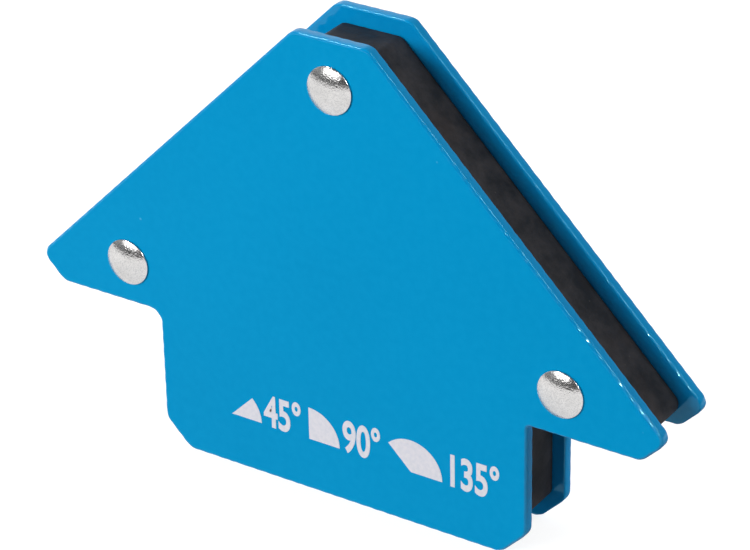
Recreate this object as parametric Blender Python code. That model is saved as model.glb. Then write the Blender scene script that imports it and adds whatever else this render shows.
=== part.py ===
"""Arrow-shaped magnetic welding holder: two painted steel plates riveted together over a moulded spacer
frame, which holds three ferrite magnets between them. Work pieces rest on the plates' edges, which meet
at 45, 90 and 135 degrees.

Metres. +Z is up, +X to the right as the printed front plate is seen, and that plate faces -Y. The origin
is at the middle of the bottom edge, halfway through the thickness. The plates' outlines lie in XZ."""

import math

import bmesh
import bpy
from mathutils import Matrix, Vector

# Plates
WIDTH = 0.1205  # across the wing tips
HEIGHT = 0.0830  # bottom edge to top edge
THICKNESS = 0.0145  # outer face of one plate to outer face of the other
PLATE = 0.0021  # 2 mm sheet under its paint
STEM_WIDTH = 0.0710
STEM_CHAMFER = 0.0048  # each way, at 45 degrees
UNDERSIDE = 0.0253  # height of the wings' undersides
SLOPE_APEX = 0.0900  # height where the two 45 degree slopes would meet
PLATE_EDGE_RADIUS = 0.0004  # outer face only: the stamping's rolled-over side
PLATE_CORNERS = {"base": 0.003, "stem": 0.003, "wing": 0.0027, "tip": 0.002, "top": 0.0025}
LOOSE_FILLET = 0.0023  # between wing and stem, on one side of the stamping
TIGHT_FILLET = 0.0007  # on its other side

# Gap that every piece keeps to its neighbours
GAP = 0.0003

# Spacer frame, set back from the plates' edges
SLOPE_RECESS = 0.0030
TOP_RECESS = 0.0028
STEM_RECESS = 0.0023
CHAMFER_RECESS = 0.0023
UNDERSIDE_RECESS = 0.0003
SPACER_CORNERS = {"base": 0.002, "stem": 0.002, "wing": 0.002, "tip": 0.002, "top": 0.002}
SPACER_FILLET = 0.001
SPACER_WALL = 0.0030
SPACER_RIB = 0.0024  # between neighbouring magnets
BOSS_RADIUS = 0.0050  # moulded around each rivet
POCKET_CORNER = 0.0008
CORE_CORNER = 0.0012

# Magnets, ground ferrite blocks: width, height
LOWER_MAGNET = (0.028, 0.040)
UPPER_MAGNET = (0.024, 0.018)
MAGNET_CHAMFER = 0.0006

# Rivets
RIVETS = {"rivet_top": (0.0, 0.0746), "rivet_left": (-0.0416, 0.0330), "rivet_right": (0.0416, 0.0330)}
SHANK_RADIUS = 0.0020
HEAD_RADIUS = 0.0041
HEAD_RIM = 0.0003  # height of the head's upright rim
HEAD_HEIGHT = 0.0015
CLINCH_RADIUS = 0.0032  # the rolled tubular end at the rear
CLINCH_HEIGHT = 0.0011
BORE_RADIUS = 0.0013
BORE_DEPTH = 0.0045

CORNER_STEP = math.radians(15)  # turn of one facet on a rounded corner
ROUND_SEGMENTS = 24
EDGE_SEGMENTS = 3
ROOT2 = math.sqrt(2)


def clear_scene():
    for obj in list(bpy.data.objects):
        bpy.data.objects.remove(obj, do_unlink=True)


def material(name, colour, roughness, metallic):
    mat = bpy.data.materials.new(name)
    mat.use_nodes = True
    shader = mat.node_tree.nodes["Principled BSDF"]
    shader.inputs["Base Color"].default_value = (*colour, 1.0)
    shader.inputs["Roughness"].default_value = roughness
    shader.inputs["Metallic"].default_value = metallic
    return mat


def add_object(name, bm, mat):
    """An object from bm, with its faces pointing out, shaded smooth between sharp edges."""
    bmesh.ops.recalc_face_normals(bm, faces=bm.faces)
    mesh = bpy.data.meshes.new(name)
    bm.to_mesh(mesh)
    bm.free()
    mesh.shade_smooth()
    mesh.set_sharp_from_angle(angle=math.radians(35))
    mesh.materials.append(mat)
    obj = bpy.data.objects.new(name, mesh)
    bpy.context.scene.collection.objects.link(obj)
    return obj


def rounded(corners):
    """Points of a closed outline whose corners, each (x, z, radius), are replaced with arcs."""
    points = []
    for i, (x, z, radius) in enumerate(corners):
        here = Vector((x, z))
        before = (Vector(corners[i - 1][:2]) - here).normalized()
        after = (Vector(corners[(i + 1) % len(corners)][:2]) - here).normalized()
        half_angle = before.angle(after) / 2
        middle = (before + after).normalized()
        centre = here + middle * (radius / math.sin(half_angle))
        start = here + before * (radius / math.tan(half_angle)) - centre
        turn = (math.pi - 2 * half_angle) * (1 if before.cross(after) < 0 else -1)
        steps = max(1, math.ceil(abs(turn) / CORNER_STEP))
        for k in range(steps + 1):
            points.append(centre + Matrix.Rotation(turn * k / steps, 2) @ start)
    return points


def add_prism(bm, points, front, back):
    """Extrudes the outline, points in XZ, from y = front to y = back. Returns the face at the front."""
    face = bm.faces.new([bm.verts.new((x, front, z)) for x, z in points])
    grown = bmesh.ops.extrude_face_region(bm, geom=[face], use_keep_orig=True)
    moved = [v for v in grown["geom"] if isinstance(v, bmesh.types.BMVert)]
    bmesh.ops.translate(bm, verts=moved, vec=(0, back - front, 0))
    return face


def circle(centre, radius):
    """Points of a circle in XZ."""
    angles = [2 * math.pi * k / ROUND_SEGMENTS for k in range(ROUND_SEGMENTS)]
    return [Vector((centre[0] + radius * math.cos(a), centre[1] + radius * math.sin(a))) for a in angles]


def rectangle(left, right, bottom, top, radius):
    """Points of a rectangle in XZ with rounded corners."""
    return rounded([(left, bottom, radius), (right, bottom, radius), (right, top, radius), (left, top, radius)])


def arrow(half_stem, base, stem_cut, underside, wing_cut, apex, top, radii, fillets):
    """Points of the arrow outline, anticlockwise. stem_cut and wing_cut are x - z along the right-hand
    chamfers, apex is x + z along the right-hand slope, and fillets are the left and right inner radii."""
    tip_x = (apex + wing_cut) / 2
    right = [
        (base + stem_cut, base, radii["base"]),
        (half_stem, half_stem - stem_cut, radii["stem"]),
        (half_stem, underside, fillets[1]),
        (underside + wing_cut, underside, radii["wing"]),
        (tip_x, apex - tip_x, radii["tip"]),
        (apex - top, top, radii["top"]),
    ]
    left = [(-x, z, radius) for x, z, radius in reversed(right)]
    left[3] = (-half_stem, underside, fillets[0])
    return rounded(right + left)


def plate_outline(fillets):
    return arrow(
        half_stem=STEM_WIDTH / 2,
        base=0.0,
        stem_cut=STEM_WIDTH / 2 - STEM_CHAMFER,
        underside=UNDERSIDE,
        wing_cut=WIDTH - SLOPE_APEX,
        apex=SLOPE_APEX,
        top=HEIGHT,
        radii=PLATE_CORNERS,
        fillets=fillets,
    )


def spacer_outline():
    return arrow(
        half_stem=STEM_WIDTH / 2 - STEM_RECESS,
        base=STEM_RECESS,
        stem_cut=STEM_WIDTH / 2 - STEM_CHAMFER - CHAMFER_RECESS * ROOT2,
        underside=UNDERSIDE + UNDERSIDE_RECESS,
        wing_cut=WIDTH - SLOPE_APEX - CHAMFER_RECESS * ROOT2,
        apex=SLOPE_APEX - SLOPE_RECESS * ROOT2,
        top=HEIGHT - TOP_RECESS,
        radii=SPACER_CORNERS,
        fillets=(SPACER_FILLET, SPACER_FILLET),
    )


def cut(obj, name, outlines):
    """Cuts the outlines right through obj, along Y."""
    bm = bmesh.new()
    for points in outlines:
        add_prism(bm, points, -THICKNESS, THICKNESS)
    cutter = add_object(name, bm, obj.data.materials[0])
    cutter.hide_render = True
    cutter.display_type = "WIRE"
    boolean = obj.modifiers.new("cut", "BOOLEAN")
    boolean.operation = "DIFFERENCE"
    boolean.solver = "EXACT"
    boolean.object = cutter


def make_plate(name, outer, inner, fillets, paint):
    """A plate from y = outer, its outer face with the rounded edge, to y = inner."""
    bm = bmesh.new()
    face = add_prism(bm, plate_outline(fillets), outer, inner)
    bmesh.ops.bevel(
        bm,
        geom=list(face.edges),
        offset=PLATE_EDGE_RADIUS,
        offset_type="OFFSET",
        segments=EDGE_SEGMENTS,
        profile=0.5,
        affect="EDGES",
    )
    plate = add_object(name, bm, paint)
    holes = [circle(place, SHANK_RADIUS + GAP) for place in RIVETS.values()]
    cut(plate, name + "_holes", holes)


def magnet_places():
    """Each magnet's (centre x, centre z, width, height). The two lower ones stand side by side in the
    stem, and the upper one lies across the rib above them."""
    lower_x = SPACER_RIB / 2 + GAP + LOWER_MAGNET[0] / 2
    lower_z = STEM_RECESS + SPACER_WALL + GAP + LOWER_MAGNET[1] / 2
    upper_z = lower_z + LOWER_MAGNET[1] / 2 + SPACER_RIB + 2 * GAP + UPPER_MAGNET[1] / 2
    return {
        "magnet_left": (-lower_x, lower_z, *LOWER_MAGNET),
        "magnet_right": (lower_x, lower_z, *LOWER_MAGNET),
        "magnet_top": (0.0, upper_z, *UPPER_MAGNET),
    }


def make_magnets(ferrite):
    depth = THICKNESS - 2 * PLATE - 2 * GAP
    for name, (x, z, width, height) in magnet_places().items():
        bm = bmesh.new()
        place = Matrix.Translation((x, 0, z)) @ Matrix.Diagonal((width, depth, height, 1))
        bmesh.ops.create_cube(bm, size=1, matrix=place)
        bmesh.ops.bevel(
            bm, geom=list(bm.edges), offset=MAGNET_CHAMFER, offset_type="OFFSET", segments=1, affect="EDGES"
        )
        add_object(name, bm, ferrite)


def magnet_pockets():
    pockets = []
    for x, z, width, height in magnet_places().values():
        half_width = width / 2 + GAP
        half_height = height / 2 + GAP
        pockets.append(
            rectangle(x - half_width, x + half_width, z - half_height, z + half_height, POCKET_CORNER)
        )
    return pockets


def core_triangle(side, inner_x, floor_z):
    """A right-angled triangular hollow under a slope, which leaves an even wall. side is -1 or 1."""
    apex = SLOPE_APEX - (SLOPE_RECESS + SPACER_WALL) * ROOT2
    corners = [
        (side * inner_x, floor_z, CORE_CORNER),
        (side * (apex - floor_z), floor_z, CORE_CORNER),
        (side * inner_x, apex - inner_x, CORE_CORNER),
    ]
    return rounded(corners[::side])


def core_hollows():
    """Moulding hollows beside the upper magnet, and above each wing's rivet boss."""
    magnets = magnet_places()
    x, z, width, height = magnets["magnet_right"]
    shoulder = (UPPER_MAGNET[0] / 2 + GAP + SPACER_WALL, z + height / 2 + GAP + SPACER_WALL)
    wing = (x + width / 2 + GAP + SPACER_WALL, RIVETS["rivet_right"][1] + BOSS_RADIUS)
    return [core_triangle(side, *corner) for side in (-1, 1) for corner in (shoulder, wing)]


def make_spacer(plastic):
    half_depth = THICKNESS / 2 - PLATE - GAP
    bm = bmesh.new()
    add_prism(bm, spacer_outline(), -half_depth, half_depth)
    spacer = add_object("spacer_frame", bm, plastic)
    rivet_holes = [circle(place, SHANK_RADIUS + GAP) for place in RIVETS.values()]
    cut(spacer, "spacer_hollows", magnet_pockets() + core_hollows() + rivet_holes)


def rivet_profile():
    """(radius, y) from the tip of the domed head at the front, along the outside, to the bottom of the
    rear bore. The head and the clinch each stand off their plate by GAP."""
    seat = -THICKNESS / 2 - GAP
    rise = HEAD_HEIGHT - HEAD_RIM
    sphere = (HEAD_RADIUS**2 + rise**2) / (2 * rise)
    points = []
    dome_steps = 6
    for k in range(dome_steps + 1):
        radius = HEAD_RADIUS * k / dome_steps
        drop = sphere - math.sqrt(sphere**2 - radius**2)
        points.append((radius, seat - HEAD_HEIGHT + drop))
    points += [(HEAD_RADIUS, seat), (SHANK_RADIUS, seat), (SHANK_RADIUS, -seat)]
    roll_radius = (CLINCH_RADIUS - BORE_RADIUS) / 2
    roll_centre = (CLINCH_RADIUS + BORE_RADIUS) / 2
    roll_steps = 6
    for k in range(roll_steps + 1):
        angle = math.pi * k / roll_steps
        points.append(
            (roll_centre + roll_radius * math.cos(angle), -seat + CLINCH_HEIGHT * math.sin(angle) ** 0.7)
        )
    end = -seat - BORE_DEPTH
    points += [(BORE_RADIUS, end + BORE_RADIUS / 2), (0.0, end)]
    return points


def make_rivets(zinc):
    for name, (x, z) in RIVETS.items():
        bm = bmesh.new()
        line = [bm.verts.new((x + radius, y, z)) for radius, y in rivet_profile()]
        edges = [bm.edges.new(pair) for pair in zip(line, line[1:])]
        bmesh.ops.spin(
            bm,
            geom=line + edges,
            cent=(x, 0, z),
            axis=(0, 1, 0),
            angle=2 * math.pi,
            steps=ROUND_SEGMENTS,
            use_merge=True,
        )
        bmesh.ops.remove_doubles(bm, verts=bm.verts, dist=1e-6)
        add_object(name, bm, zinc)


def main():
    clear_scene()
    paint = material("blue_paint", (0.004, 0.29, 0.60), 0.35, 0.0)
    plastic = material("black_plastic", (0.016, 0.016, 0.018), 0.6, 0.0)
    ferrite = material("ferrite", (0.06, 0.06, 0.065), 0.55, 0.0)
    zinc = material("zinc", (0.62, 0.61, 0.60), 0.3, 1.0)

    # The rear plate is the same stamping turned over, so its fillets change sides
    outer = THICKNESS / 2
    inner = outer - PLATE
    make_plate("front_plate", -outer, -inner, (LOOSE_FILLET, TIGHT_FILLET), paint)
    make_plate("rear_plate", outer, inner, (TIGHT_FILLET, LOOSE_FILLET), paint)
    make_spacer(plastic)
    make_magnets(ferrite)
    make_rivets(zinc)


main()
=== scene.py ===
"""Looks of the magnetic welding holder: painted plates, moulded spacer, plated rivets, ferrite blocks and the
white angle print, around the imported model. Metres, in the model's own frame: +Z up, the print faces -Y."""

import math

import bmesh
import bpy
from mathutils import Matrix, Vector, noise


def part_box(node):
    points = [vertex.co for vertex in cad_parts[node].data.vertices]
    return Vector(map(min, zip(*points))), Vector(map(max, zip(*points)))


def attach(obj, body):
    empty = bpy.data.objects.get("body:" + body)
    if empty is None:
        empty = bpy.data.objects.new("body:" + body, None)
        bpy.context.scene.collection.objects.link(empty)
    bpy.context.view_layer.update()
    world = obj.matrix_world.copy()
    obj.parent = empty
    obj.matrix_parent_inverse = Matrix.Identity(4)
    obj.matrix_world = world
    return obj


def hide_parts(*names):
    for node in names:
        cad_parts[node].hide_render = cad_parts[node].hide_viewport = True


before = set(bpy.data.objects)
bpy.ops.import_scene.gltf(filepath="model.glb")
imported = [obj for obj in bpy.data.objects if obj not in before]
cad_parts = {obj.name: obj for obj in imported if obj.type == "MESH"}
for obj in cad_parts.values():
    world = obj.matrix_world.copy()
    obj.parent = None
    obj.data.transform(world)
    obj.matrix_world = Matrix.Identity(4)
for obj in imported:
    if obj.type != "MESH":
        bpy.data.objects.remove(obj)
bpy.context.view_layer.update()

ROOT2 = math.sqrt(2)

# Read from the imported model
PLATE_LOW, PLATE_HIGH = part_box("front_plate")
FRONT = PLATE_LOW.y  # outer face of the front plate
FRONT_INNER = PLATE_HIGH.y
REAR_INNER, REAR = (corner.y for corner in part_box("rear_plate"))
HEIGHT = PLATE_HIGH.z
RIVETS = ("rivet_top", "rivet_left", "rivet_right")
MAGNETS = ("magnet_left", "magnet_right", "magnet_top")

# The plates' outline, as the model has it
WIDTH = 0.1205
STEM_WIDTH = 0.0710
STEM_CHAMFER = 0.0048
UNDERSIDE = 0.0253
SLOPE_APEX = 0.0900
PLATE_CORNERS = {"base": 0.003, "stem": 0.003, "wing": 0.0027, "tip": 0.002, "top": 0.0025}
LOOSE_FILLET = 0.0023
TIGHT_FILLET = 0.0007
OUTER_EDGE = 0.0004  # rolled-over side of the stamping, under its paint
INNER_EDGE = 0.0003  # the sheared side, softened by paint
EDGE_POWER = 1.5  # 2 is a round edge, 1 a straight chamfer; stamping and paint leave something between
CHATTER = 0.000024  # height of the ripple that uneven cutting leaves along the rounding
CHATTER_LENGTH = 0.0025
CHATTER_UNEVEN = 0.8  # share by which its height varies
CHATTER_DRIFT = 0.35  # share of its length by which it slips
CHATTER_STEP = 0.0003
OUTWARD = 0.999  # share of a flat face's normal that points straight out of the sheet, at least
EDGE_MARGIN = 0.0001  # narrow flat strip inside each rounding
HOLE_CLEARANCE = 0.0001

# The spacer's outline
SLOPE_RECESS = 0.0030
TOP_RECESS = 0.0028
SIDE_RECESS = 0.0023
UNDERSIDE_RECESS = 0.0003
SPACER_CORNERS = {"base": 0.002, "stem": 0.002, "wing": 0.002, "tip": 0.002, "top": 0.002}
SPACER_FILLET = 0.001
SPACER_EDGE = 0.0003
SPACER_SEAT = 0.00001  # hairline between the spacer and the plates
POCKET_GAP = 0.0003
POCKET_CORNER = 0.0008

# Rivets
SHANK_RADIUS = 0.0020
HEAD_RADIUS = 0.0041
HEAD_HEIGHT = 0.0015
HEAD_RIM = 0.0003
RIM_RADIUS = 0.00015
RIM_STEPS = 8
CREVICE = 0.00009  # open gap under the edge of the head
CREVICE_DEPTH = 0.0005
CLINCH_RADIUS = 0.0032
CLINCH_HEIGHT = 0.0011
BORE_RADIUS = 0.0013
BORE_DEPTH = 0.0045
ROLL_STEPS = 20
DOME_RINGS = 64
GRAIN = 0.000017  # relief of the plated surface
GRAIN_SCALE = 5500.0

CORNER_STEP = math.radians(5)
POCKET_CORNER_STEP = math.radians(15)
EDGE_STEPS = 8
ROUND_SEGMENTS = 240
WELD = 1e-7


# ---------------------------------------------------------------- outlines


def rounded(corners, arc_step):
    """Points of a closed outline whose corners, each (x, z, radius), are replaced with arcs of short chords,
    each turning by about arc_step."""
    points = []
    for i, (x, z, radius) in enumerate(corners):
        here = Vector((x, z))
        before = (Vector(corners[i - 1][:2]) - here).normalized()
        after = (Vector(corners[(i + 1) % len(corners)][:2]) - here).normalized()
        half_angle = before.angle(after) / 2
        centre = here + (before + after).normalized() * (radius / math.sin(half_angle))
        start = here + before * (radius / math.tan(half_angle)) - centre
        turn = (math.pi - 2 * half_angle) * (1 if before.cross(after) < 0 else -1)
        steps = max(1, round(abs(turn) / arc_step))
        for k in range(steps + 1):
            points.append(centre + Matrix.Rotation(turn * k / steps, 2) @ start)
    return points


def arrow(half_stem, base, stem_cut, underside, wing_cut, apex, top, radii, fillets, inset=0.0):
    """Points of the arrow outline, anticlockwise, moved in by inset. stem_cut and wing_cut are x - z along
    the right-hand chamfers, apex is x + z along the right-hand slope."""
    half_stem, base, underside, top = half_stem - inset, base + inset, underside + inset, top - inset
    stem_cut, wing_cut, apex = (v - inset * ROOT2 for v in (stem_cut, wing_cut, apex))
    tip_x = (apex + wing_cut) / 2
    outer = {name: radius - inset for name, radius in radii.items()}
    right = [
        (base + stem_cut, base, outer["base"]),
        (half_stem, half_stem - stem_cut, outer["stem"]),
        (half_stem, underside, fillets[1] + inset),
        (underside + wing_cut, underside, outer["wing"]),
        (tip_x, apex - tip_x, outer["tip"]),
        (apex - top, top, outer["top"]),
    ]
    left = [(-x, z, radius) for x, z, radius in reversed(right)]
    left[3] = (-half_stem, underside, fillets[0] + inset)
    return rounded(right + left, CORNER_STEP)


def plate_outline(inset, fillets):
    stem_cut = STEM_WIDTH / 2 - STEM_CHAMFER
    wing_cut = WIDTH - SLOPE_APEX
    return arrow(
        half_stem=STEM_WIDTH / 2,
        base=0.0,
        stem_cut=stem_cut,
        underside=UNDERSIDE,
        wing_cut=wing_cut,
        apex=SLOPE_APEX,
        top=HEIGHT,
        radii=PLATE_CORNERS,
        fillets=fillets,
        inset=inset,
    )


def spacer_outline(inset):
    return arrow(
        half_stem=STEM_WIDTH / 2 - SIDE_RECESS,
        base=SIDE_RECESS,
        stem_cut=STEM_WIDTH / 2 - STEM_CHAMFER - SIDE_RECESS * ROOT2,
        underside=UNDERSIDE + UNDERSIDE_RECESS,
        wing_cut=WIDTH - SLOPE_APEX - SIDE_RECESS * ROOT2,
        apex=SLOPE_APEX - SLOPE_RECESS * ROOT2,
        top=HEIGHT - TOP_RECESS,
        radii=SPACER_CORNERS,
        fillets=(SPACER_FILLET, SPACER_FILLET),
        inset=inset,
    )


def spaced(points, counts):
    """The closed outline with each of its runs cut into that many parts."""
    fine = []
    for here, after, count in zip(points, points[1:] + points[:1], counts):
        fine += [here.lerp(after, k / count) for k in range(count)]
    return fine


def chatter(length):
    """Height of the ripple at a length along the outline. Its phase and size wander slowly along the edge."""
    phase = length / CHATTER_LENGTH + CHATTER_DRIFT * noise.noise((length * 300, 0.0, 0.0))
    size = CHATTER * (1 + CHATTER_UNEVEN * noise.noise((length * 170, 5.0, 0.0)))
    return size * math.sin(2 * math.pi * phase)


def circle(centre, radius):
    turns = [2 * math.pi * k / ROUND_SEGMENTS for k in range(ROUND_SEGMENTS)]
    return [Vector((centre[0] + radius * math.cos(a), centre[1] + radius * math.sin(a))) for a in turns]


# ---------------------------------------------------------------- mesh helpers


def to_object(name, bm, mat, sharp=40):
    bmesh.ops.recalc_face_normals(bm, faces=bm.faces)
    mesh = bpy.data.meshes.new(name)
    bm.to_mesh(mesh)
    bm.free()
    mesh.shade_smooth()
    mesh.set_sharp_from_angle(angle=math.radians(sharp))
    mesh.materials.append(mat)
    obj = bpy.data.objects.new(name, mesh)
    bpy.context.scene.collection.objects.link(obj)
    return obj


def ring(bm, points, y):
    """A closed loop of edges through the points, in the plane at y. Returns its vertices."""
    verts = [bm.verts.new((x, y, z)) for x, z in points]
    for a, b in zip(verts, verts[1:] + verts[:1]):
        bm.edges.new((a, b))
    return verts


def wall(bm, low, high):
    """Quads between two loops with the same number of vertices."""
    for i in range(len(low)):
        bm.faces.new((low[i - 1], low[i], high[i], high[i - 1]))


def sheet_body(outline, sections, holes):
    """A body from loops of its outline, each section (inset, y), and straight holes through it."""
    bm = bmesh.new()
    loops = [ring(bm, outline(inset), y) for inset, y in sections]
    for low, high in zip(loops, loops[1:]):
        wall(bm, low, high)
    ends = [[loops[0]], [loops[-1]]]
    for points in holes:
        pair = [ring(bm, points, sections[0][1]), ring(bm, points, sections[-1][1])]
        wall(bm, *pair)
        ends[0].append(pair[0])
        ends[1].append(pair[1])
    for end in ends:
        edges = [bm.edges.get((loop[i - 1], loop[i])) for loop in end for i in range(len(loop))]
        bmesh.ops.triangle_fill(bm, use_beauty=True, use_dissolve=False, edges=edges)
    return bm


def rounded_sections(start, end, start_radius, end_radius, power=2.0):
    """Sections (inset, y) from y = start to y = end, with a rounded edge at each. The margin inside each
    rounding keeps the large faces' shading flat."""
    way = 1 if end > start else -1

    def curve(steps):
        turns = (math.pi / 2 * k / steps for k in range(steps + 1))
        return [(1 - math.sin(a) ** (2 / power), 1 - max(math.cos(a), 0.0) ** (2 / power)) for a in turns]

    sections = [(start_radius + EDGE_MARGIN, start)]
    for inward, along in curve(EDGE_STEPS):
        sections.append((start_radius * inward, start + way * start_radius * along))
    for along, inward in curve(EDGE_STEPS // 2):
        sections.append((end_radius * inward, end - way * end_radius * along))
    sections.append((end_radius + EDGE_MARGIN, end))
    return sections


def node_centre(name):
    low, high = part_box(name)
    return (low.x + high.x) / 2, (low.z + high.z) / 2


def rivet_holes():
    return [circle(node_centre(name), SHANK_RADIUS + HOLE_CLEARANCE) for name in RIVETS]


# ---------------------------------------------------------------- materials


class Shader:
    """A Principled material with short ways to add texture nodes. Coordinates are in metres."""

    def __init__(self, name, **constants):
        self.material = bpy.data.materials.new(name)
        self.material.use_nodes = True
        self.tree = self.material.node_tree
        self.bsdf = self.tree.nodes["Principled BSDF"]
        for key, value in constants.items():
            self.bsdf.inputs[key.replace("_", " ")].default_value = value
        self.place = self.node("ShaderNodeTexCoord").outputs["Object"]

    def node(self, kind, inputs=None, **settings):
        made = self.tree.nodes.new(kind)
        for key, value in settings.items():
            setattr(made, key, value)
        for key, value in (inputs or {}).items():
            if isinstance(value, bpy.types.NodeSocket):
                self.tree.links.new(value, made.inputs[key])
            else:
                made.inputs[key].default_value = value
        return made

    def noise(self, scale, detail=2.0, roughness=0.5, stretch=None):
        place = self.place
        if stretch:
            place = self.node("ShaderNodeMapping", {"Vector": place, "Scale": stretch}).outputs[0]
        inputs = {"Vector": place, "Scale": scale, "Detail": detail, "Roughness": roughness}
        return self.node("ShaderNodeTexNoise", inputs).outputs["Fac"]

    def spots(self, scale, size, soft):
        """1 inside sparse round spots, 0 outside. size and soft are shares of a cell."""
        cells = self.node("ShaderNodeTexVoronoi", {"Vector": self.place, "Scale": scale})
        return self.remap(cells.outputs["Distance"], size, size + soft, 1.0, 0.0)

    def remap(self, value, low, high, to_low, to_high):
        inputs = {"Value": value, "From Min": low, "From Max": high, "To Min": to_low, "To Max": to_high}
        return self.node("ShaderNodeMapRange", inputs, clamp=True).outputs["Result"]

    def maths(self, operation, a, b):
        return self.node("ShaderNodeMath", {0: a, 1: b}, operation=operation).outputs[0]

    def blend(self, share, a, b):
        """The colour a where share is 0, b where it is 1."""
        inputs = {"Factor": share, "A": a, "B": b}
        made = self.node("ShaderNodeMix", data_type="RGBA")
        for key, value in inputs.items():
            socket = [s for s in made.inputs if s.name == key and s.enabled][0]
            if isinstance(value, bpy.types.NodeSocket):
                self.tree.links.new(value, socket)
            else:
                socket.default_value = value
        return [s for s in made.outputs if s.enabled][0]

    def bump(self, height, distance, strength=1.0, normal=None):
        inputs = {"Height": height, "Distance": distance, "Strength": strength}
        if normal:
            inputs["Normal"] = normal
        return self.node("ShaderNodeBump", inputs).outputs[0]

    def set(self, **sockets):
        for key, value in sockets.items():
            self.tree.links.new(value, self.bsdf.inputs[key.replace("_", " ")])


def blue_paint(name, dark, light, gloss, reflection, roughness):
    """Sprayed enamel between two tones. reflection is the tint of its gloss."""
    s = Shader(name, Specular_IOR_Level=gloss, Specular_Tint=reflection)
    # slow change of tone over the sheet, and the fine mottle of sprayed enamel
    slow = s.noise(35.0)
    fine = s.noise(700.0, detail=3.0)
    tone = s.blend(s.remap(slow, 0.3, 0.7, 0.0, 1.0), dark, light)
    tone = s.blend(s.remap(fine, 0.35, 0.65, 0.0, 0.12), tone, (0.01, 0.40, 0.72, 1))
    # a few pale paint nibs
    nibs = s.spots(110.0, 0.014, 0.02)
    tone = s.blend(s.maths("MULTIPLY", nibs, 0.6), tone, (0.10, 0.50, 0.78, 1))
    s.set(Base_Color=tone, Roughness=s.remap(slow, 0.3, 0.7, roughness, roughness + 0.03))
    # orange peel
    peel = s.bump(s.noise(650.0, detail=1.0), 0.00001)
    s.set(Normal=s.bump(nibs, 0.00003, normal=peel))
    return s.material


def black_plastic():
    s = Shader("black_plastic", Specular_IOR_Level=0.25)
    patches = s.noise(190.0, detail=5.0, roughness=0.7)
    fine = s.noise(1500.0, detail=3.0)
    tone = s.blend(s.remap(patches, 0.38, 0.66, 0.0, 1.0), (0.007, 0.007, 0.010, 1), (0.034, 0.030, 0.033, 1))
    brown = s.remap(s.noise(80.0, detail=4.0), 0.55, 0.75, 0.0, 0.5)
    tone = s.blend(brown, tone, (0.050, 0.030, 0.022, 1))
    dust = s.spots(380.0, 0.03, 0.05)
    tone = s.blend(s.maths("MULTIPLY", dust, 0.3), tone, (0.10, 0.09, 0.08, 1))
    s.set(Base_Color=tone, Roughness=s.remap(patches, 0.3, 0.7, 0.5, 0.68))
    grain = s.bump(fine, 0.00004)
    s.set(Normal=s.bump(s.noise(260.0), 0.00012, normal=grain))
    return s.material


def zinc():
    s = Shader("zinc", Metallic=1.0)
    cloud = s.noise(420.0, detail=4.0, roughness=0.6)
    tone = s.blend(s.remap(cloud, 0.3, 0.7, 0.0, 1.0), (0.57, 0.56, 0.55, 1), (0.68, 0.665, 0.655, 1))
    specks = s.remap(s.noise(5000.0, detail=1.0), 0.45, 0.65, 0.0, 0.35)
    tone = s.blend(specks, tone, (0.34, 0.33, 0.35, 1))
    s.set(Base_Color=tone, Roughness=s.remap(cloud, 0.3, 0.7, 0.15, 0.22))
    s.set(Normal=s.bump(s.noise(5200.0, detail=2.0), 0.000006, normal=s.bump(s.noise(600.0), 0.00001)))
    return s.material


def ferrite():
    s = Shader("ferrite", Specular_IOR_Level=0.4)
    grain = s.noise(900.0, detail=4.0, roughness=0.7)
    s.set(Base_Color=s.blend(grain, (0.035, 0.035, 0.038, 1), (0.065, 0.063, 0.066, 1)))
    s.set(Roughness=s.remap(grain, 0.3, 0.7, 0.45, 0.7))
    # lengthwise grinding marks
    marks = s.noise(1200.0, detail=1.0, stretch=(1.0, 1.0, 0.04))
    s.set(Normal=s.bump(marks, 0.00002, normal=s.bump(grain, 0.00003)))
    return s.material


def white_print():
    s = Shader("white_print", Specular_IOR_Level=0.3)
    ink = s.noise(1400.0, detail=3.0)
    s.set(Base_Color=s.blend(s.remap(ink, 0.35, 0.7, 0.0, 1.0), (0.76, 0.74, 0.79, 1), (0.68, 0.68, 0.75, 1)))
    s.set(Roughness=s.remap(ink, 0.3, 0.7, 0.3, 0.42), Normal=s.bump(ink, 0.00001))
    return s.material


# ---------------------------------------------------------------- the pieces


def finish_piece(obj, node=None):
    """The object joins the holder, in place of a node if one is named."""
    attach(obj, "root")
    if node:
        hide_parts(node)


def make_plates(paint, edge_paint):
    """Both stampings, with the quieter paint on their outer flats and the glossier one on the rest."""
    for node, outer, inner, fillets in (
        ("front_plate", FRONT, FRONT_INNER, (LOOSE_FILLET, TIGHT_FILLET)),
        ("rear_plate", REAR, REAR_INNER, (TIGHT_FILLET, LOOSE_FILLET)),
    ):
        sections = rounded_sections(outer, inner, OUTER_EDGE, INNER_EDGE, EDGE_POWER)
        coarse = plate_outline(0.0, fillets)
        runs = [(after - here).length for here, after in zip(coarse, coarse[1:] + coarse[:1])]
        counts = [max(1, math.ceil(run / CHATTER_STEP)) for run in runs]

        def outline(inset):
            return spaced(plate_outline(inset, fillets), counts)

        body = sheet_body(outline, sections, rivet_holes())
        bmesh.ops.recalc_face_normals(body, faces=body.faces)
        around = sum(counts)
        for k, vert in enumerate(list(body.verts)[: around * len(sections)]):
            facing = abs(vert.normal.y)
            rounding = 4 * facing**2 * max(0.0, 1 - facing**2)  # 1 halfway round the edge, 0 at both ends
            vert.co += vert.normal * (rounding * chatter(k % around * sum(runs) / around))
        for face in body.faces:
            outside = face.normal.y if outer > inner else -face.normal.y
            face.material_index = 0 if outside > OUTWARD else 1
        plate = to_object(node + "_painted", body, paint)
        plate.data.materials.append(edge_paint)
        finish_piece(plate, node)


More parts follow.
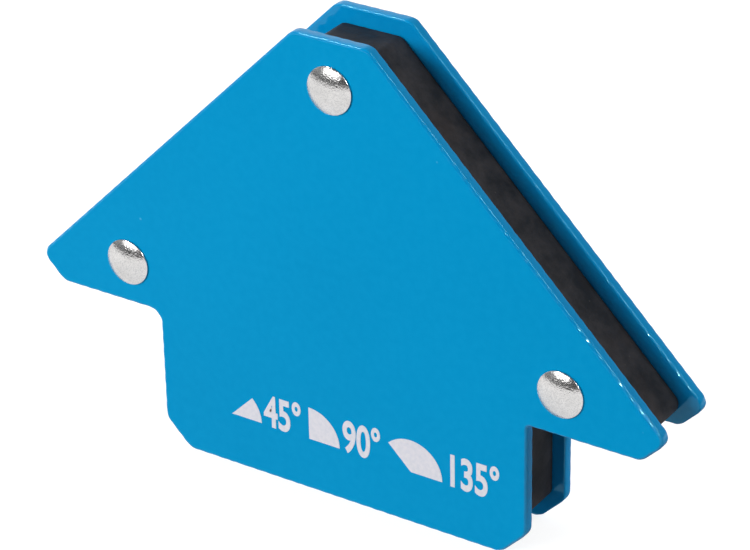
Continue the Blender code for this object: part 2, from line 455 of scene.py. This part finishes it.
def make_spacer(plastic):
    holes = rivet_holes()
    for name in MAGNETS:
        low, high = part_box(name)
        left, right = low.x - POCKET_GAP, high.x + POCKET_GAP
        bottom, top = low.z - POCKET_GAP, high.z + POCKET_GAP
        corners = [(left, bottom), (right, bottom), (right, top), (left, top)]
        holes.append(rounded([(*corner, POCKET_CORNER) for corner in corners], POCKET_CORNER_STEP))
    front, rear = FRONT_INNER + SPACER_SEAT, REAR_INNER - SPACER_SEAT
    sections = rounded_sections(front, rear, SPACER_EDGE, SPACER_EDGE)
    body = sheet_body(spacer_outline, sections, holes)
    finish_piece(to_object("spacer_moulded", body, plastic), "spacer_frame")


def rivet_profile():
    """(radius, y) from the tip of the domed head, along the outside, to the bottom of the rear bore."""
    rise = HEAD_HEIGHT - HEAD_RIM
    sphere = (HEAD_RADIUS**2 + rise**2) / (2 * rise)
    dome_y = FRONT - HEAD_HEIGHT + sphere
    rim_centre = HEAD_RADIUS - RIM_RADIUS
    rim_y = dome_y - math.sqrt((sphere - RIM_RADIUS) ** 2 - rim_centre**2)
    meet = math.asin(rim_centre / (sphere - RIM_RADIUS))
    tilts = [meet * k / DOME_RINGS for k in range(DOME_RINGS + 1)]
    points = [(sphere * math.sin(a), dome_y - sphere * math.cos(a)) for a in tilts]
    for k in range(1, RIM_STEPS + 1):
        a = meet + (math.pi / 2 - meet) * k / RIM_STEPS
        points.append((rim_centre + RIM_RADIUS * math.sin(a), rim_y - RIM_RADIUS * math.cos(a)))
    points += [(HEAD_RADIUS, FRONT - CREVICE), (HEAD_RADIUS - CREVICE_DEPTH, FRONT), (SHANK_RADIUS, FRONT)]
    points.append((SHANK_RADIUS, REAR))
    # the end is rolled outwards over the rear plate
    roll_radius = (CLINCH_RADIUS - BORE_RADIUS) / 2
    roll_centre = (CLINCH_RADIUS + BORE_RADIUS) / 2
    for k in range(ROLL_STEPS + 1):
        a = math.pi * k / ROLL_STEPS
        lift = CLINCH_HEIGHT * max(math.sin(a), 0.0) ** 0.7  # blunter than a half circle
        points.append((roll_centre + roll_radius * math.cos(a), REAR + lift))
    end = REAR - BORE_DEPTH
    return points + [(BORE_RADIUS, end + BORE_RADIUS / 2), (0.0, end)]


def make_rivets(plating):
    """Each is spun, then its domed face gets the fine grain of barrel plating as real relief."""
    for name in RIVETS:
        x, z = node_centre(name)
        bm = bmesh.new()
        line = [bm.verts.new((x + radius, y, z)) for radius, y in rivet_profile()]
        edges = [bm.edges.new(pair) for pair in zip(line, line[1:])]
        bmesh.ops.spin(
            bm,
            geom=line + edges,
            cent=(x, 0, z),
            axis=(0, 1, 0),
            angle=2 * math.pi,
            steps=ROUND_SEGMENTS,
            use_merge=True,
        )
        bmesh.ops.remove_doubles(bm, verts=bm.verts, dist=WELD)
        for vert in bm.verts:
            if vert.co.y < FRONT - HEAD_RIM:
                vert.co.y += GRAIN * noise.noise(vert.co * GRAIN_SCALE)
        finish_piece(to_object(name + "_plated", bm, plating, sharp=50), name)


# The print: three angles, each a solid wedge and its number
ANGLES = (45, 90, 135)
INK = 0.00003  # how far it stands off the paint
PRINT_BASE = 0.0098
PRINT_LEFT = -0.0215
DIGIT_HEIGHT = 0.0060
DIGIT_SHARE = 0.73  # height of a digit as a share of the text size
DIGIT_SQUEEZE = 0.66
DIGIT_BOLD = 0.00021
WEDGE_RADIUS = 0.0060
WEDGE_STEPS = 24
WEDGE_GAP = 0.0006
ANGLE_GAP = 0.0016


def wedge(angle, left):
    """A solid sector standing on the print's base line, its lower side horizontal. Returns its points."""
    reach = max(0.0, -math.cos(math.radians(angle))) * WEDGE_RADIUS
    corner = Vector((left + reach, PRINT_BASE))
    arc = [math.radians(angle) * k / WEDGE_STEPS for k in range(WEDGE_STEPS + 1)]
    return [corner] + [corner + WEDGE_RADIUS * Vector((math.cos(a), math.sin(a))) for a in arc]


def make_print(ink):
    """Text and wedges as thin solids on the front plate."""
    left = PRINT_LEFT
    for angle in ANGLES:
        points = wedge(angle, left)
        bm = bmesh.new()
        front = ring(bm, points, FRONT - INK)
        back = ring(bm, points, FRONT + INK)
        wall(bm, front, back)
        bm.faces.new(front)
        bm.faces.new(back)
        finish_piece(to_object(f"print_wedge_{angle}", bm, ink))
        curve = bpy.data.curves.new(f"print_{angle}", "FONT")
        curve.body = f"{angle}°"
        curve.size = DIGIT_HEIGHT / DIGIT_SHARE
        curve.extrude = INK
        curve.offset = DIGIT_BOLD
        text = bpy.data.objects.new(f"print_{angle}", curve)
        bpy.context.scene.collection.objects.link(text)
        text.rotation_euler = (math.pi / 2, 0, 0)
        text.scale = (DIGIT_SQUEEZE, 1, 1)
        text.location = (max(p.x for p in points) + WEDGE_GAP, FRONT, PRINT_BASE)
        bpy.context.view_layer.update()
        mesh = bpy.data.meshes.new_from_object(text.evaluated_get(bpy.context.evaluated_depsgraph_get()))
        mesh.transform(text.matrix_world)
        bpy.data.objects.remove(text, do_unlink=True)
        number = bpy.data.objects.new(f"print_number_{angle}", mesh)
        bpy.context.scene.collection.objects.link(number)
        mesh.materials.clear()
        mesh.materials.append(ink)
        finish_piece(number)
        left = max(v.co.x for v in mesh.vertices) + ANGLE_GAP


# ---------------------------------------------------------------- stage

CAMERA_AZIMUTH = math.radians(33.584)
CAMERA_ELEVATION = math.radians(28.547)
CAMERA_ROLL = math.radians(-1.151)
CAMERA_DISTANCE = 0.5038
CAMERA_TARGET = Vector((0.00768, FRONT, 0.04434))
CAMERA_LENS = 153.46
SENSOR_WIDTH = 36


def direction(azimuth, elevation):
    """Unit vector from the object towards a place, azimuth counted from -Y towards +X."""
    flat = math.cos(elevation)
    return Vector((math.sin(azimuth) * flat, -math.cos(azimuth) * flat, math.sin(elevation)))


def make_camera():
    data = bpy.data.cameras.new("camera")
    data.lens = CAMERA_LENS
    data.sensor_width = SENSOR_WIDTH
    data.clip_start = 0.01
    camera = bpy.data.objects.new("camera", data)
    back = direction(CAMERA_AZIMUTH, CAMERA_ELEVATION)
    right = Vector((math.cos(CAMERA_AZIMUTH), math.sin(CAMERA_AZIMUTH), 0))
    turn = Matrix((right, back.cross(right), back)).transposed() @ Matrix.Rotation(CAMERA_ROLL, 3, "Z")
    camera.matrix_world = Matrix.Translation(CAMERA_TARGET + back * CAMERA_DISTANCE) @ turn.to_4x4()
    bpy.context.scene.collection.objects.link(camera)
    bpy.context.scene.camera = camera


def make_sun(name, azimuth, elevation, spread, strength, diffuse=True):
    """Angles in degrees. With diffuse off it gives highlights only."""
    data = bpy.data.lights.new(name, "SUN")
    data.energy = strength
    data.angle = math.radians(spread)
    light = bpy.data.objects.new(name, data)
    towards = direction(math.radians(azimuth), math.radians(elevation))
    light.matrix_world = towards.to_track_quat("Z", "Y").to_matrix().to_4x4()
    light.visible_diffuse = diffuse
    bpy.context.scene.collection.objects.link(light)


WINDOW_WIDTH = 1.1
WINDOW_HEIGHT = 0.34
WINDOW_DISTANCE = 1.2
WINDOW_AZIMUTH = -21.5
WINDOW_ELEVATION = 23
WINDOW_GLOW = 3.4
FADE_LEFT = 0.28
FADE_RIGHT = 0.12
FADE_BELOW = 0.08
LIT_WIDTH = 0.9  # its right end gives reflections but little light
LIT_AZIMUTH = -25
LIT_POWER = 13.2

FLOOR_SIZE = 6.0
FLOOR_DROP = 0.0002  # keeps it clear of the base edges
FLOOR_GLOW = 0.85
SECTOR_LIFT = 0.0005
SECTOR_STEPS = 24


def facing_object(azimuth, elevation, distance):
    """Placement of a flat light at a distance from the holder, turned to it. Angles in degrees."""
    towards = direction(math.radians(azimuth), math.radians(elevation))
    place = Matrix.Translation(Vector((0, 0, HEIGHT / 2)) + towards * distance)
    return place @ towards.to_track_quat("Z", "Y").to_matrix().to_4x4()


def only_reflected(obj):
    """Leaves the object out of everything but reflections."""
    for ray in ("camera", "diffuse", "shadow", "transmission", "volume_scatter"):
        setattr(obj, "visible_" + ray, False)


def make_window():
    """A wide window in front and to the left, from just above the horizon up. A plain area light carries its
    light; a panel in much the same place, fading towards its edges, is what the glossy parts mirror."""
    data = bpy.data.lights.new("window_light", "AREA")
    data.shape = "RECTANGLE"
    data.size = LIT_WIDTH
    data.size_y = WINDOW_HEIGHT
    data.energy = LIT_POWER
    light = bpy.data.objects.new("window_light", data)
    light.matrix_world = facing_object(LIT_AZIMUTH, WINDOW_ELEVATION, WINDOW_DISTANCE)
    light.visible_camera = False
    light.visible_glossy = False
    bpy.context.scene.collection.objects.link(light)

    bm = bmesh.new()
    x, y = WINDOW_WIDTH / 2, WINDOW_HEIGHT / 2
    bm.faces.new([bm.verts.new(corner) for corner in ((-x, -y, 0), (x, -y, 0), (x, y, 0), (-x, y, 0))])
    s = Shader("window", Base_Color=(0, 0, 0, 1), Emission_Color=(1, 1, 1, 1))
    split = s.node("ShaderNodeSeparateXYZ", {"Vector": s.place}).outputs
    left = s.remap(split["X"], -x, -x + FADE_LEFT, 0.15, 1.0)
    right = s.remap(split["X"], x - FADE_RIGHT, x, 1.0, 0.2)
    below = s.remap(split["Y"], -y, -y + FADE_BELOW, 0.2, 1.0)
    fade = s.maths("MULTIPLY", s.maths("MULTIPLY", left, right), below)
    s.set(Emission_Strength=s.maths("MULTIPLY", fade, WINDOW_GLOW))
    panel = to_object("window", bm, s.material)
    panel.matrix_world = facing_object(WINDOW_AZIMUTH, WINDOW_ELEVATION, WINDOW_DISTANCE)
    only_reflected(panel)


def make_sector(name, start, end, near, far, dark, light):
    """A flat ring sector just over the table, azimuths in degrees, that paints dark patches into reflections.
    Only reflections show it.
    """
    bm = bmesh.new()
    turns = [math.radians(start + (end - start) * k / SECTOR_STEPS) for k in range(SECTOR_STEPS + 1)]
    rays = [(math.sin(a), -math.cos(a)) for a in turns]
    inside, outside = ([bm.verts.new((r * x, r * y, SECTOR_LIFT)) for x, y in rays] for r in (near, far))
    for k in range(SECTOR_STEPS):
        bm.faces.new((inside[k], inside[k + 1], outside[k + 1], outside[k]))
    s = Shader(name, Roughness=0.9, Specular_IOR_Level=0.1)
    s.set(Base_Color=s.blend(s.noise(30.0), (dark, dark, dark, 1), (light, light, light, 1)))
    only_reflected(to_object(name, bm, s.material))


def make_world():
    """Studio surroundings, by direction. The sky is brighter to the left and behind, and dark along the
    horizon. The lower half is what the white floor throws back, brighter to the left and behind and darker
    straight below, since the floor itself is left out of the diffuse light."""
    world = bpy.data.worlds.new("studio")
    world.use_nodes = True
    tree = world.node_tree
    split = tree.nodes.new("ShaderNodeSeparateXYZ")
    tree.links.new(tree.nodes.new("ShaderNodeTexCoord").outputs["Generated"], split.inputs[0])

    def ramp(axis, low, high, to_low, to_high):
        made = tree.nodes.new("ShaderNodeMapRange")
        tree.links.new(split.outputs[axis], made.inputs["Value"])
        for key, value in (("From Min", low), ("From Max", high), ("To Min", to_low), ("To Max", to_high)):
            made.inputs[key].default_value = value
        return made.outputs["Result"]

    def combine(operation, a, b):
        made = tree.nodes.new("ShaderNodeMath")
        made.operation = operation
        tree.links.new(a, made.inputs[0])
        tree.links.new(b, made.inputs[1])
        return made.outputs[0]

    sides = combine("MULTIPLY", ramp("X", -0.9, -0.3, 1.5, 0.26), ramp("Y", -0.4, 0.3, 0.3, 1.3))
    sky = combine("MULTIPLY", sides, ramp("Z", 0.02, 0.12, 0.05, 1.0))
    table = combine("ADD", ramp("X", -0.3, 0.6, 0.6, 0.15), ramp("Y", 0.0, 0.3, 0.0, 1.45))
    below = combine("MULTIPLY", ramp("Z", -0.02, 0.0, 1.0, 0.0), ramp("Z", -0.95, -0.5, 0.3, 1.0))
    bounce = combine("MULTIPLY", below, table)
    background = tree.nodes["Background"]
    background.inputs["Color"].default_value = (0.93, 0.97, 1.0, 1)
    tree.links.new(combine("ADD", sky, bounce), background.inputs["Strength"])
    bpy.context.scene.world = world


def make_floor():
    """A white table with a glow of its own, so that it stays pure white around the holder."""
    bm = bmesh.new()
    bmesh.ops.create_grid(bm, x_segments=1, y_segments=1, size=FLOOR_SIZE)
    s = Shader("floor", Roughness=0.8, Specular_IOR_Level=0.1, Emission_Strength=FLOOR_GLOW)
    s.set(Base_Color=s.blend(s.noise(3.0), (0.29, 0.29, 0.29, 1), (0.31, 0.31, 0.31, 1)))
    s.bsdf.inputs["Emission Color"].default_value = (1, 1, 1, 1)
    floor = to_object("floor", bm, s.material)
    floor.location.z = -FLOOR_DROP
    floor.visible_diffuse = False
    floor.visible_shadow = False


def make_stage():
    make_world()
    make_window()
    make_sun("back", azimuth=105, elevation=45, spread=20, strength=1.25)
    make_sun("glint_top", azimuth=-62, elevation=54.5, spread=12, strength=1.0, diffuse=False)
    make_sun("glint_right", azimuth=45.5, elevation=23.7, spread=4, strength=3.5, diffuse=False)
    make_floor()
    # painted reflection: a grey sheet that only reflections show, the dark band mirrored by the rivets and
    # paint; the camera sees white table there
    make_sector("mirrored_dark_band", -140, 80, 0.65, 4.0, dark=0.36, light=0.46)
    # painted shadow: a grey sheet that only reflections show, standing in for the holder's shadow on the
    # table behind and to the right
    make_sector("shade", 85, 140, 0.0, 0.12, dark=0.24, light=0.32)


def main():
    bpy.context.scene.view_settings.view_transform = "Standard"
    make_camera()
    make_stage()
    face_paint = blue_paint(
        "blue_paint",
        dark=(0.0, 0.288, 0.59, 1),
        light=(0.0, 0.30, 0.61, 1),
        gloss=0.06,
        reflection=(0.0, 0.9, 1.0, 1),
        roughness=0.1,
    )
    edge_paint = blue_paint(
        "blue_paint_edge",
        dark=(0.0, 0.25, 0.56, 1),
        light=(0.001, 0.27, 0.59, 1),
        gloss=0.4,
        reflection=(0.4, 0.95, 1.0, 1),
        roughness=0.06,
    )
    make_plates(face_paint, edge_paint)
    make_spacer(black_plastic())
    make_rivets(zinc())
    make_print(white_print())
    blocks = ferrite()
    for name in MAGNETS:
        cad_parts[name].material_slots[0].material = blocks


main()
